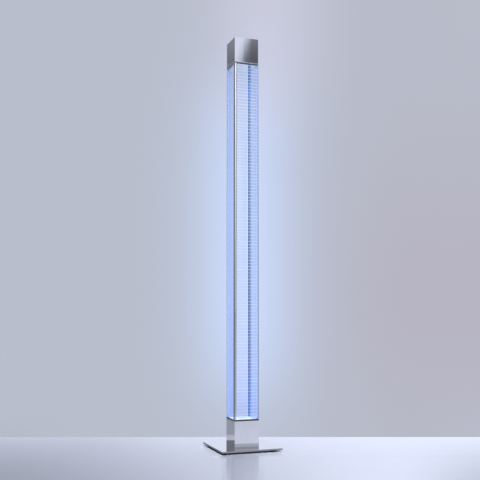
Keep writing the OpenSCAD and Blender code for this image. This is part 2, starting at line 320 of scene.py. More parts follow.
def turned(name, dark, light, rough, centres, axis):
    """Screw or turned part: fine rings round the nearest of the centres, seen along axis."""
    m, t = new_mat(name)
    v = place(t)
    c = xyz(t, v)
    a, b = [i for i in range(3) if i != axis]
    near = None
    for ca, cb in centres:
        da, db = c[a] - ca, c[b] - cb
        d = (da * da + db * db).op("SQRT")
        near = d if near is None else near.op("MINIMUM", d)
    rings = (near * 14000.0).op("SINE") * 0.5 + 0.5
    grime = noise(t, v, 260.0, 4.0, 0.6)
    r = rings * 0.08 + grime * 0.16 + (rough - 0.1)
    principled(t, tone(t, (grime * 0.7 + rings * 0.3).step(0.3, 0.75), dark, light), r, 1.0,
               bump(t, rings, 3e-6, after=bump(t, grime, 6e-6)))
    return m


def pane_glass(name, across, centre, half, edge_glow, streak=0.0, own_flat=(0.80, 0.82, 1.0), own_graze=(0.56, 0.60, 1.0),
               seam=0.0, ends=1.0):
    """Clear pane lit from its ends: tinted, a little light of its own, glossy skin.
    across is the axis along its width, centre its middle and half its half width between the posts.
    A seam darkens the strip of that width where the pane goes into the posts."""
    m, t = new_mat(name)
    v = place(t)
    c = xyz(t, v)
    lw = t.nodes.new("ShaderNodeLayerWeight")
    lw.inputs["Blend"].default_value = 0.5
    graze = Num(t, lw.outputs["Facing"]).step(0.10, 0.72)
    dust = noise(t, v, 210.0, 4.0, 0.65)
    wipe = noise(t, stretched(t, v, (40, 40, 7)), 1.0, 3.0, 0.55)
    level = c[2].line(0.10, 1.24)
    clear = tone(t, graze, (0.945, 0.962, 0.988), (0.775, 0.875, 0.975))
    # light of its own: a little less at both ends of the column, more in its long edges
    d = (c[across] - centre).abs()
    rim = d.step(half - 0.0052, half - 0.0030)
    if across == 1:   # the far edge of a side pane stays dim
        near, left = (c[1] - centre).step(0.01, -0.01), c[0].step(0.0, -0.03)
        rim = rim * (near * 1.1 + (near * -1.0 + 1.0) * (level.line(0.10, 0.70, 0.0, -1.1) * left + 0.15))
        rim = rim + (c[1] - centre).step(0.014 - half, 0.003 - half) * level.line(0.15, 0.60, 0.1, 2.2) * left
    keep = None
    if seam > 0:      # beside the metal post only, on the left for the front pane and on the right for the back pane
        strip = (c[across] - centre).step(seam * 0.85 - half, seam * 1.15 - half, 1.0, 0.0)
        keep = strip * level.line(0.12, 0.90, 0.0, -0.86) + 1.0
        keep = keep - (c[across] - centre).step(-0.004, -0.024) * level.line(0.70, 0.88) * 0.06
    elif seam < 0:
        strip = (c[across] - centre).step(half + seam * 1.15, half + seam * 0.85)
        keep = strip * (level.line(0.10, 0.90, -0.80, -0.55) - level.hump(0.48, 0.24) * 0.12) + 1.0
        rim = rim * ((c[across] - centre).step(0.0, 0.01) * (strip * -1.0 + 1.0) * level.hump(0.57, 0.22) * 1.9 + 1.0)
        # painted light: this strip's tint is far above one, so near the top it lets more green and blue through than
        # comes in
        tint = tone(t, level.line(0.12, 0.45), (0.45, 1.85, 4.0), (0.68, 1.87, 3.3))
        tint = tone(t, level.line(0.10, 0.0), tint, (1.45, 2.5, 4.0))
        tint = tone(t, level.line(0.50, 0.90), tint, (1.85, 2.38, 2.70))
        less = t.nodes.new("ShaderNodeVectorMath")
        less.operation = "MULTIPLY"
        t.links.new(tint, less.inputs[0])
        t.links.new(tone(t, level.line(0.48, 0.66) - level.line(0.90, 0.94), (1.0, 1.0, 1.0), (1.0, 1.0, 0.90)), less.inputs[1])
        clear = tone(t, strip, clear, less.outputs[0])
    if keep is not None:
        clear = times(t, clear, keep)
    film = t.nodes.new("ShaderNodeBsdfTransparent")
    t.links.new(clear, film.inputs["Color"])
    low, high = level.step(0.10, 0.0), level.step(0.86, 0.97)
    glow = (wipe.step(0.25, 0.75) * 0.10 + dust * 0.05 + 0.93) - (low + high) * (0.38 * ends) + rim * edge_glow
    if streak:
        rib = ((c[across] * (math.tau / 0.031)).op("SINE") * 0.5 + 0.5) * streak
        glow = glow + rib
    if keep is not None:
        glow = glow * keep
    own = t.nodes.new("ShaderNodeEmission")
    hue = tone(t, graze, own_flat, own_graze)
    cool = t.nodes.new("ShaderNodeMix")
    cool.data_type, cool.blend_type = "RGBA", "MULTIPLY"
    t.links.new(tone(t, level.step(0.5, 0.4), (0.62, 0.84, 1.25), (0.62, 1.01, 2.05)), cool.inputs[7])
    t.links.new(((level.step(0.22, 0.0) + high * 0.95) * ends).socket, cool.inputs[0])
    t.links.new(hue, cool.inputs[6])
    blue = t.nodes.new("ShaderNodeMix")
    blue.data_type, blue.blend_type = "RGBA", "MULTIPLY"
    blue.inputs[7].default_value = (1.0, 1.02, 1.30, 1.0)
    t.links.new(level.step(0.55, 0.10).socket, blue.inputs[0])
    t.links.new(cool.outputs[2], blue.inputs[6])
    t.links.new(blue.outputs[2], own.inputs["Color"])
    t.links.new((glow * GLOW).socket, own.inputs["Strength"])
    both = t.nodes.new("ShaderNodeAddShader")
    t.links.new(film.outputs[0], both.inputs[0])
    t.links.new(own.outputs[0], both.inputs[1])
    skin = t.nodes.new("ShaderNodeBsdfGlossy")
    skin.inputs["Color"].default_value = (0.95, 0.97, 1.0, 1.0)
    t.links.new((dust.step(0.5, 0.9) * 0.06 + 0.015).socket, skin.inputs["Roughness"])
    mix = t.nodes.new("ShaderNodeMixShader")
    t.links.new((Num(t, lw.outputs["Facing"]).op("POWER", 5.0) * 0.96 + 0.04).socket, mix.inputs[0])
    t.links.new(both.outputs[0], mix.inputs[1])
    t.links.new(skin.outputs[0], mix.inputs[2])
    surface(t, mix.outputs[0])
    return m


def groove_mat(name, solid, strength, lit_from=None):
    """Frosted flank of an engraved line, which scatters the light inside the pane."""
    m, t = new_mat(name)
    v = place(t)
    c = xyz(t, v)
    frost = noise(t, v, 1900.0, 3.0, 0.7)
    drift = noise(t, stretched(t, v, (10, 10, 55)), 1.0, 2.0)
    level = c[2].line(0.10, 1.24)
    boost = level.step(0.72, 0.95) * 0.12 - level.step(0.95, 1.0) * 0.30 - level.step(0.06, 0.0) * 0.30
    own = t.nodes.new("ShaderNodeEmission")
    t.links.new(tone(t, frost, (0.72, 0.80, 1.0), (0.90, 0.94, 1.0)), own.inputs["Color"])
    t.links.new(((drift * 0.5 + 0.75 + boost) * strength).socket, own.inputs["Strength"])
    film = t.nodes.new("ShaderNodeBsdfTransparent")
    film.inputs["Color"].default_value = (0.93, 0.96, 1.0, 1.0)
    mix = t.nodes.new("ShaderNodeMixShader")
    t.links.new(((drift * 0.4 + 0.8) * solid).clamp().socket, mix.inputs[0])
    t.links.new(film.outputs[0], mix.inputs[1])
    t.links.new(own.outputs[0], mix.inputs[2])
    surface(t, mix.outputs[0])
    return m


def clear_bar(name):
    """Clear corner bar between two panes, which passes on some of their light. Its outer edges look a little darker."""
    m, t = new_mat(name)
    v = place(t)
    c = xyz(t, v)
    lw = t.nodes.new("ShaderNodeLayerWeight")
    lw.inputs["Blend"].default_value = 0.5
    graze = Num(t, lw.outputs["Facing"]).step(0.10, 0.72)
    dx, dy = (c[0] - COL_X).abs(), (c[1] - COL_Y).abs()
    level = c[2].line(0.10, 1.24)
    wide = level.line(0.0, 0.5, 0.0017, 0.0004) - level.line(0.5, 1.0, 0.0, 0.0008)
    edge = ((c[0] - COL_X) + wide).step(0.0381, 0.0386) * dy.step(0.0376, 0.0381)    # strong on the right of the column
    edge = edge + (c[0] - COL_X).step(-0.0386, -0.0392) * dy.step(0.0380, 0.0388) * level.line(0.0, 0.5, 0.5, 1.0)
    haze = noise(t, stretched(t, v, (220, 220, 30)), 1.0, 3.0, 0.6)
    dust = noise(t, v, 320.0, 4.0, 0.65)
    film = t.nodes.new("ShaderNodeBsdfTransparent")
    t.links.new(tone(t, graze, (0.935, 0.945, 0.992), (0.875, 0.915, 0.985)), film.inputs["Color"])
    own = t.nodes.new("ShaderNodeEmission")
    hue = tone(t, haze, (0.44, 0.60, 1.0), (0.64, 0.76, 1.05))
    t.links.new(tone(t, level.step(0.6, 0.0), hue, (0.46, 0.66, 1.40)), own.inputs["Color"])
    t.links.new(((haze * 0.3 + dust * 0.1 + 0.8) * BAR_GLOW).socket, own.inputs["Strength"])
    both = t.nodes.new("ShaderNodeAddShader")
    t.links.new(film.outputs[0], both.inputs[0])
    t.links.new(own.outputs[0], both.inputs[1])
    grey = t.nodes.new("ShaderNodeEmission")      # the sharp outer edge hides what is behind it
    t.links.new(tone(t, haze, (0.03, 0.06, 0.11), (0.06, 0.09, 0.16)), grey.inputs["Color"])
    rim = t.nodes.new("ShaderNodeMixShader")
    t.links.new((edge * level.line(0.0, 0.5, 0.50, 0.98)).clamp().socket, rim.inputs[0])
    t.links.new(both.outputs[0], rim.inputs[1])
    t.links.new(grey.outputs[0], rim.inputs[2])
    skin = t.nodes.new("ShaderNodeBsdfGlossy")
    skin.inputs["Color"].default_value = (0.95, 0.97, 1.0, 1.0)
    t.links.new((dust * 0.04 + 0.02).socket, skin.inputs["Roughness"])
    mix = t.nodes.new("ShaderNodeMixShader")
    t.links.new((Num(t, lw.outputs["Facing"]).op("POWER", 5.0) * 0.9 + 0.04).socket, mix.inputs[0])
    t.links.new(rim.outputs[0], mix.inputs[1])
    t.links.new(skin.outputs[0], mix.inputs[2])
    surface(t, mix.outputs[0])
    return m


GLOW = 0.036      # light of one pane surface
BAR_GLOW = 0.05   # and of one surface of a clear corner bar
COL_X, COL_Y = -0.016, -0.050

steel = polished("polished_steel", (0.83, 0.84, 0.865), (0.90, 0.91, 0.93), 0.035)
cap_steel = polished("cap_steel", (0.83, 0.84, 0.865), (0.90, 0.91, 0.93), 0.022, smudge=0.03, lip=1.2371)
plate_steel = polished("plate_steel", (0.86, 0.87, 0.89), (0.92, 0.925, 0.94), 0.035,
                       grain=(30, 900, 900), smudge=0.06, under=0.0053)
def post_finish():
    """Polished outside with a fine grain along the post; the inner faces are satin, tinted blue-grey as painted light
    of the panes on them.
    """
    m, t = new_mat("post_metal")
    v = place(t)
    c = xyz(t, v)
    out = (c[0] - COL_X).abs().op("MAXIMUM", (c[1] - COL_Y).abs()).step(0.03905, 0.03925)
    streak = noise(t, stretched(t, v, (3000, 3000, 25)), 1.0, 3.0, 0.6)
    cloud = noise(t, v, 40.0, 3.0, 0.55)
    worn = noise(t, v, 160.0, 4.0, 0.62).step(0.55, 0.75)
    shine = tone(t, (streak * 0.6 + cloud * 0.4).step(0.3, 0.7), (0.78, 0.785, 0.80), (0.86, 0.865, 0.88))
    inner_painted_light = tone(t, (streak * 0.5 + cloud * 0.5).step(0.3, 0.7), (0.15, 0.40, 0.66), (0.22, 0.50, 0.78))
    flank = (c[0] - COL_X).abs().step(0.03985, 0.03995)       # painted shade: the sides are darker than the front, by an amount that changes with height
    level = c[2].line(0.10, 1.24)
    shine = times(t, shine, flank * (level.line(0.0, 0.12, -0.36, -0.50) + level.line(0.30, 0.45, 0.0, 0.10)
                                   - level.line(0.55, 0.85, 0.0, 0.36) + level.line(0.88, 0.96, 0.0, 0.06)) + 1.0)
    inner = (c[0] - COL_X).abs().step(0.0369, 0.0361)         # painted shade: the front is darker towards the pane, most at the top
    high = level.line(0.90, 0.94, 0.0, -0.24) + level.line(0.955, 0.970, 0.0, 0.22)
    # painted highlight: near the top the whole outside is lightened a little
    shine = times(t, shine, inner * (level.line(0.3, 0.85, 0.0, -0.18) + high) + level.line(0.85, 0.95, 1.0, 1.07))
    # painted light on the inner faces: brighter higher up and at the very bottom, darker just below the top, and warmer
    # towards the top
    inner_painted_light = times(t, inner_painted_light, level.line(0.30, 0.80, 1.0, 1.35) - level.hump(0.9705, 0.013) * 0.42
                 + level.line(0.05, 0.0) * 0.3)
    warm = t.nodes.new("ShaderNodeVectorMath")
    warm.operation = "MULTIPLY"
    t.links.new(inner_painted_light, warm.inputs[0])
    t.links.new(tone(t, level.line(0.50, 0.85), (1.0, 1.0, 1.0), (1.28, 1.0, 0.86)), warm.inputs[1])
    pale = t.nodes.new("ShaderNodeVectorMath")                # painted light: its outer half is paler and warmer
    pale.operation = "MULTIPLY"
    t.links.new(warm.outputs[0], pale.inputs[0])
    t.links.new(tone(t, (c[0] - COL_X).step(0.0370, 0.0392), (1.0, 1.0, 1.0),
                     tone(t, level.line(0.1, 0.8), (3.4, 1.75, 0.95), (2.6, 1.35, 0.86))), pale.inputs[1])
    inner_painted_light = pale.outputs[0]
    rough = streak * 0.03 + worn * 0.03 + (out * -0.22 + 0.26)
    # along the inner edge of the outside runs a dark sealing strip; its pale look is painted light from the pane, an
    # emission
    strip = out * (c[1] - COL_Y).abs().step(0.0306, 0.0300) * (streak * 0.2 + 0.8)
    principled(t, tone(t, strip, tone(t, out, inner_painted_light, shine), (0.10, 0.11, 0.14)), rough + strip * 0.3, 1.0,
               bump(t, streak, 2.0e-7), Emission_Color=(0.62, 0.74, 1.0), Emission_Strength=strip * 0.52)
    return m


post_metal = post_finish()
mirror = polished("mirror_sheet", (0.88, 0.90, 0.93), (0.93, 0.945, 0.96), 0.03, grain=(40, 700, 700),
                  wave=0.5e-5, smudge=0.02)


def black_metal():
    m, t = new_mat("black_frame")
    v = place(t)
    grain = noise(t, v, 2400.0, 3.0, 0.7)
    cloud = noise(t, v, 45.0, 3.0)
    principled(t, tone(t, (grain * 0.5 + cloud * 0.5).step(0.3, 0.7), (0.045, 0.045, 0.050), (0.075, 0.075, 0.082)),
               cloud * 0.12 + grain * 0.10 + 0.30, 0.0, bump(t, grain, 4e-6), Specular_IOR_Level=0.6)
    return m


def rubber():
    m, t = new_mat("feet_rubber")
    v = place(t)
    pebble = cells(t, v, 1300.0)
    cloud = noise(t, v, 120.0, 3.0)
    principled(t, tone(t, cloud.step(0.3, 0.7), (0.012, 0.012, 0.013), (0.030, 0.030, 0.032)),
               cloud * 0.2 + 0.62, 0.0, bump(t, pebble, 4e-5))
    return m


def plain_metal(name, dark, light, rough=0.35):
    m, t = new_mat(name)
    v = place(t)
    mill = noise(t, stretched(t, v, (120, 2200, 900)), 1.0, 3.0, 0.6)
    cloud = noise(t, v, 60.0, 4.0)
    principled(t, tone(t, (mill * 0.6 + cloud * 0.4).step(0.3, 0.7), dark, light),
               mill * 0.14 + cloud * 0.1 + (rough - 0.12), 1.0, bump(t, mill, 3e-6))
    return m


def circuit():
    m, t = new_mat("circuit_board")
    v = place(t)
    brick = t.nodes.new("ShaderNodeTexBrick")
    t.links.new(v, brick.inputs["Vector"])
    for name, val in (("Scale", 1.0), ("Mortar Size", 0.00035), ("Brick Width", 0.008), ("Row Height", 0.004)):
        brick.inputs[name].default_value = val
    trace = Num(t, brick.outputs["Fac"])
    grain = noise(t, v, 900.0, 2.0)
    mask = tone(t, grain, (0.80, 0.82, 0.80), (0.90, 0.91, 0.90))
    principled(t, tone(t, trace, mask, (0.62, 0.60, 0.52)), grain * 0.15 + 0.32, 0.0,
               bump(t, trace, 3.5e-5, after=bump(t, grain, 3e-6)))
    return m


def led_mat():
    m, t = new_mat("led_package")
    v = place(t)
    c = xyz(t, v)
    near = None
    for i in (-1, 0, 1):
        for j in (-1, 0, 1):
            dx, dy = c[0] - (COL_X + i * 0.008), c[1] - (COL_Y + j * 0.008)
            d = (dx * dx + dy * dy).op("SQRT")
            near = d if near is None else near.op("MINIMUM", d)
    dome = near.step(0.00195, 0.0018)
    grain = noise(t, v, 2500.0, 2.0)
    white = tone(t, grain, (0.78, 0.78, 0.76), (0.88, 0.88, 0.86))
    yellow = tone(t, near.step(0.0018, 0.0), (0.86, 0.62, 0.16), (0.95, 0.82, 0.34))
    principled(t, tone(t, dome, white, yellow), grain * 0.2 + 0.14, 0.0, bump(t, grain, 2e-6),
               Emission_Color=(0.75, 0.86, 1.0), Emission_Strength=dome * 1.6)
    return m


def white_floor():
    """Diffusing sheet inside the column, lit by the light source under it; that light is painted in as an emission,
    brightest round the middle.
    """
    m, t = new_mat("white_reflector")
    v = place(t)
    c = xyz(t, v)
    dx, dy = c[0] - COL_X, c[1] - COL_Y
    far = (dx * dx + dy * dy).op("SQRT")
    grain = noise(t, v, 1500.0, 3.0, 0.6)
    cloud = noise(t, v, 70.0, 3.0)
    # painted shade: towards the back its colour and its painted light are halved
    rear = c[1].step(-0.022, -0.036, 0.50, 1.0)
    light = far.step(0.052, 0.012, 0.40, 0.56) * (cloud * 0.12 + 0.94) * rear
    light = light * (dx.step(-0.018, -0.033) * 1.2 - dx.step(0.015, 0.028) * 0.75 + 1.0)     # painted light: more on the left, less on the right
    principled(t, times(t, tone(t, grain, (0.84, 0.87, 0.82), (0.94, 0.96, 0.90)), rear), grain * 0.2 + 0.4, 0.0,
               bump(t, grain, 8e-6), Emission_Color=tone(t, cloud, (0.84, 0.87, 0.92), (0.92, 0.93, 0.94)),
               Emission_Strength=light)
    return m


def window_mat():
    """Frosted window over the light source: the nine points of light show through softly."""
    m, t = new_mat("light_window")
    v = place(t)
    c = xyz(t, v)
    near = None
    for i in (-1, 0, 1):
        for j in (-1, 0, 1):
            dx, dy = c[0] - (COL_X + i * 0.008), c[1] - (COL_Y + j * 0.008)
            d = (dx * dx + dy * dy).op("SQRT")
            near = d if near is None else near.op("MINIMUM", d)
    spot = near.step(0.0046, 0.0006)
    frost = noise(t, v, 2100.0, 3.0, 0.65)
    principled(t, tone(t, frost, (0.26, 0.34, 0.50), (0.34, 0.42, 0.58)), frost * 0.2 + 0.22, 0.0,
               bump(t, frost, 1.2e-5), Emission_Color=tone(t, spot, (0.46, 0.62, 1.0), (0.80, 0.90, 1.0)),
               Emission_Strength=spot * 0.30 + 0.08)
    return m


def plastic(name, dark, light, rough, pebble=1500.0, depth=1.2e-5):
    m, t = new_mat(name)
    v = place(t)
    g = cells(t, v, pebble)
    cloud = noise(t, v, 90.0, 3.0)
    principled(t, tone(t, cloud.step(0.3, 0.7), dark, light), cloud * 0.12 + rough - 0.06, 0.0, bump(t, g, depth))
    return m


def inlet_mat():
    """Black moulded body with a metal centre pin."""
    m, t = new_mat("inlet_plastic")
    v = place(t)
    c = xyz(t, v)
    dx, dz = c[0] + 0.030, c[2] - 0.032
    d = (dx * dx + dz * dz).op("SQRT")
    pin = d.step(0.00125, 0.00115)
    grain = cells(t, v, 1700.0)
    cloud = noise(t, v, 200.0, 3.0)
    black = tone(t, cloud, (0.010, 0.010, 0.011), (0.028, 0.028, 0.030))
    principled(t, tone(t, pin, black, (0.86, 0.80, 0.62)), cloud * 0.15 + pin * -0.2 + 0.38, pin,
               bump(t, grain, 1.0e-5))
    return m


screws_xy = {
    "foot_screws": ([(sx * 0.077, sy * 0.077) for sx in (-1, 1) for sy in (-1, 1)], 2),
    "base_screws": ([(COL_X + sx * 0.029, COL_Y + sy * 0.030) for sx in (-1, 1) for sy in (-1, 1)], 2),
    "frame_screws": ([(COL_X + sx * 0.029, COL_Y + sy * 0.030) for sx in (-1, 1) for sy in (-1, 1)], 2),
    "lower_post_screws": ([(COL_X + sx * 0.037, COL_Y + sy * 0.033) for sx in (-1, 1) for sy in (-1, 1)], 2),
    "upper_post_screws": ([(COL_X + sx * 0.037, COL_Y + sy * 0.033) for sx in (-1, 1) for sy in (-1, 1)], 2),
    "heat_sink_screws": ([(COL_X + sx * 0.0195, COL_Y + sy * 0.0195) for sx in (-1, 1) for sy in (-1, 1)], 2),
    "driver_screws": ([(COL_X + sx * 0.026, COL_Y - 0.012) for sx in (-1, 1)], 2),
    "bracket_screws": ([(COL_X + 0.035, COL_Y), (COL_X - 0.035, COL_Y), (COL_X, COL_Y + 0.035),
                        (COL_X, COL_Y - 0.035)], 2),
    "cap_screws": ([(COL_X + sx * 0.020, 1.244) for sx in (-1, 1)], 1),
}

wide_glass = pane_glass("clear_pane", 0, COL_X, 0.034, 1.5, seam=-0.0011)
front_glass = pane_glass("clear_pane_front", 0, COL_X, 0.034, 0.30, seam=0.0020)
side_glass = pane_glass("clear_pane_side", 1, COL_Y, 0.027, 0.5, streak=0.10, own_graze=(2.4, 2.08, 2.75), ends=0.25)
cross_lines = groove_mat("engraved_lines", 0.85, 1.0)
long_lines = groove_mat("engraved_lines_long", 0.6, 0.85)


def paint(name, mat):
    o = nodes[name]
    if not o.data.materials:
        o.data.materials.append(mat)
    for s in o.material_slots:
        s.material = mat


paint("lower_housing", steel)
paint("top_cap", cap_steel)
paint("base_plate", plate_steel)
for n in ("corner_post_front_left", "corner_post_back_right"):
    paint(n, post_metal)
bar = clear_bar("clear_post")
for n in ("corner_post_front_right", "corner_post_back_left"):
    paint(n, bar)
black = black_metal()
paint("lower_frame", black)
paint("upper_frame", black)
paint("base_feet", rubber())
for n, (where, axis) in screws_xy.items():
    paint(n, turned("screw_" + n, (0.42, 0.43, 0.45), (0.66, 0.67, 0.69), 0.30, where, axis))
aluminium = plain_metal("plain_aluminium", (0.52, 0.53, 0.54), (0.68, 0.69, 0.70))
for n in ("mounting_plate", "support_pillars", "led_spacers", "cap_bracket"):
    paint(n, aluminium)
paint("heat_sink", plain_metal("black_aluminium", (0.020, 0.020, 0.022), (0.055, 0.055, 0.060), 0.5))
paint("floor_reflector", white_floor())
paint("led_window", window_mat())
paint("led_board", circuit())
paint("leds", led_mat())
paint("led_driver", plastic("driver_case", (0.70, 0.70, 0.68), (0.80, 0.80, 0.78), 0.5))
paint("power_inlet", inlet_mat())
paint("inlet_nut", plain_metal("nut_metal", (0.55, 0.55, 0.56), (0.74, 0.74, 0.75), 0.28))
paint("switch_nut", plain_metal("nut_metal_wide", (0.55, 0.55, 0.56), (0.74, 0.74, 0.75), 0.28))
paint("switch_body", turned("switch_metal", (0.62, 0.63, 0.65), (0.78, 0.79, 0.81), 0.22, [(-0.002, 0.032)], 1))
paint("push_button", turned("button_metal", (0.70, 0.71, 0.73), (0.86, 0.87, 0.89), 0.16, [(-0.002, 0.032)], 1))
paint("power_leads", plastic("wire_red", (0.42, 0.020, 0.015), (0.60, 0.035, 0.028), 0.4, 2600.0, 4e-6))
paint("led_leads", plastic("wire_white", (0.70, 0.70, 0.68), (0.84, 0.84, 0.82), 0.4, 2600.0, 4e-6))
paint("top_reflector", mirror)
paint("left_pane", side_glass)
paint("right_pane", side_glass)


# ---------------------------------------------------------------- shapes
def soften(name, width, segments=2, angle=32.0):
    """Rounds the hard edges of a CAD node with modifiers; its own mesh stays as it is."""
    o = nodes[name]
    w = o.modifiers.new("weld", "WELD")
    w.merge_threshold = 2e-6
    b = o.modifiers.new("edges", "BEVEL")
    b.width, b.segments, b.limit_method = width, segments, "ANGLE"
    b.angle_limit = math.radians(angle)
    b.use_clamp_overlap = True
    b.miter_outer = "MITER_SHARP"
    n = o.modifiers.new("normals", "WEIGHTED_NORMAL")
    n.keep_sharp = False
    n.weight = 90
    return o


soften("top_cap", 0.15 * MM, 2)
soften("lower_housing", 0.15 * MM, 2)
soften("base_plate", 0.6 * MM, 3)
soften("lower_frame", 0.3 * MM, 2)
soften("upper_frame", 0.3 * MM, 2)
soften("base_feet", 0.4 * MM, 2)
soften("switch_body", 0.25 * MM, 2)
soften("push_button", 0.25 * MM, 2)
soften("power_inlet", 0.2 * MM, 2)
soften("cap_screws", 0.2 * MM, 2)
for n in ("left_pane", "right_pane"):
    soften(n, 0.25 * MM, 2)


def extruded(name, ring, along, lo, hi, mats, body="lamp"):
    """A solid from a closed ring of (a, b, slot of the side that starts there), extruded along an axis."""
    others = [i for i in range(3) if i != along]
    verts, faces, slots = [], [], []
    for level in (lo, hi):
        for a, b, _ in ring:
            p = [0.0, 0.0, 0.0]
            p[others[0]], p[others[1]], p[along] = a, b, level
            verts.append(p)
    n = len(ring)
    for i in range(n):
        j = (i + 1) % n
        faces.append((i, j, n + j, n + i))
        slots.append(ring[i][2])
    faces.append(tuple(range(n - 1, -1, -1)))
    faces.append(tuple(range(n, 2 * n)))
    slots += [0, 0]
    me = bpy.data.meshes.new(name)
    me.from_pydata(verts, [], faces)
    for p, s in zip(me.polygons, slots):
        p.material_index = s
    bm = bmesh.new()
    bm.from_mesh(me)
    bmesh.ops.recalc_face_normals(bm, faces=bm.faces)
    bm.to_mesh(me)
    bm.free()
    for m in mats:
        me.materials.append(m)
    o = bpy.data.objects.new(name, me)
    scene.collection.objects.link(o)
    return o


# Front pane: level V lines every 10 mm on the outer face.
lo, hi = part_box("front_pane")
PITCH_LINE, HALF_LINE, DEEP = 10.0 * MM, 0.45 * MM, 0.40 * MM
ch = 0.25 * MM
ring = [(hi.y - ch, lo.z, 0), (hi.y, lo.z + ch, 0), (hi.y, hi.z - ch, 0), (hi.y - ch, hi.z, 0), (lo.y + ch, hi.z, 0)]
marks = []
z = lo.z + 6.0 * MM
while z < hi.z - 3.0 * MM:
    marks.append(z)
    z += PITCH_LINE
ring.append((lo.y, hi.z - ch, 0))
for z in reversed(marks):
    ring += [(lo.y, z + HALF_LINE, 1), (lo.y + DEEP, z, 1), (lo.y, z - HALF_LINE, 0)]
ring += [(lo.y, lo.z + ch, 0), (lo.y + ch, lo.z, 0)]
front = extruded("front_pane_engraved", ring, 0, lo.x, hi.x, [front_glass, cross_lines])
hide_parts("front_pane")
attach(front, "lamp")

# Back pane: upright V lines every 6.6 mm on the outer face.
lo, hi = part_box("back_pane")
ring = [(lo.x, lo.y + ch, 0), (lo.x + ch, lo.y, 0), (hi.x - ch, lo.y, 0), (hi.x, lo.y + ch, 0), (hi.x, hi.y - ch, 0),
        (hi.x - ch, hi.y, 0)]
half, deep = 0.36 * MM, 0.32 * MM
for k in range(4, -6, -1):
    x = COL_X + (k + 0.5) * 6.6 * MM
    ring += [(x + half, hi.y, 1), (x, hi.y - deep, 1), (x - half, hi.y, 0)]
ring += [(lo.x + ch, hi.y, 0), (lo.x, hi.y - ch, 0)]
back = extruded("back_pane_engraved", ring, 2, lo.z, hi.z, [wide_glass, long_lines])
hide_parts("back_pane")
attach(back, "lamp")


def coil():
    """The button's return spring as a real helix with closed ends."""
    r, wire = 4.2 * MM, 0.35 * MM
    y0, y1 = -0.010 - 9.95 * MM, -0.010 - 4.25 * MM
    pts = []
    turns, per = 5.5, 28
    total = int(turns * per)
    for i in range(total + 1):
        s = i / per
        rise = min(max((s - 0.9) / (turns - 1.8), 0.0), 1.0)
        a = math.tau * s
        pts.append(Vector((-0.002 + r * math.cos(a), y0 + wire + (y1 - y0 - 2 * wire) * (
            0.10 * s / turns + 0.90 * rise), 0.032 + r * math.sin(a))))
    bm = bmesh.new()
    rings = []
    for i, p in enumerate(pts):
        d = (pts[min(i + 1, total)] - pts[max(i - 1, 0)]).normalized()
        out = Vector((p.x + 0.002, 0, p.z - 0.032)).normalized()
        up = d.cross(out).normalized()
        out = up.cross(d).normalized()
        rings.append([bm.verts.new(p + wire * (math.cos(math.tau * k / 10) * out + math.sin(math.tau * k / 10) * up))
                      for k in range(10)])
    for a, b in zip(rings, rings[1:]):
        for k in range(10):
            bm.faces.new((a[k], a[(k + 1) % 10], b[(k + 1) % 10], b[k]))
    bm.faces.new(list(reversed(rings[0])))
    bm.faces.new(rings[-1])
    bmesh.ops.recalc_face_normals(bm, faces=bm.faces)
    me = bpy.data.meshes.new("button_spring_coil")
    bm.to_mesh(me)
    bm.free()
    for p in me.polygons:
        p.use_smooth = len(p.vertices) == 4
    me.materials.append(plain_metal("spring_steel", (0.50, 0.50, 0.52), (0.72, 0.72, 0.74), 0.25))
    o = bpy.data.objects.new("button_spring_coil", me)
    scene.collection.objects.link(o)
    return o


spring = coil()
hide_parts("button_spring")
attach(spring, "lamp")
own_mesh(spring)


# ---------------------------------------------------------------- stage
def sheet_on_stage(name, corners, mat):
    me = bpy.data.meshes.new(name)
    me.from_pydata([tuple(c) for c in corners], [], [tuple(range(len(corners)))])
    me.materials.append(mat)
    o = bpy.data.objects.new(name, me)
    scene.collection.objects.link(o)
    o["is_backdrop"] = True
    return o


def ground(q, r):
    """Point of the table top, q ahead of the camera and r to its right."""
    p = EYE + HEAD * q + SIDE * r
    return Vector((p.x, p.y, 0.0))


FAR_EDGE = 2.767   # the table ends here, which is the line behind the lamp
NEAR_EDGE = 1.75
GREY = (0.945, 1.0, 1.19)


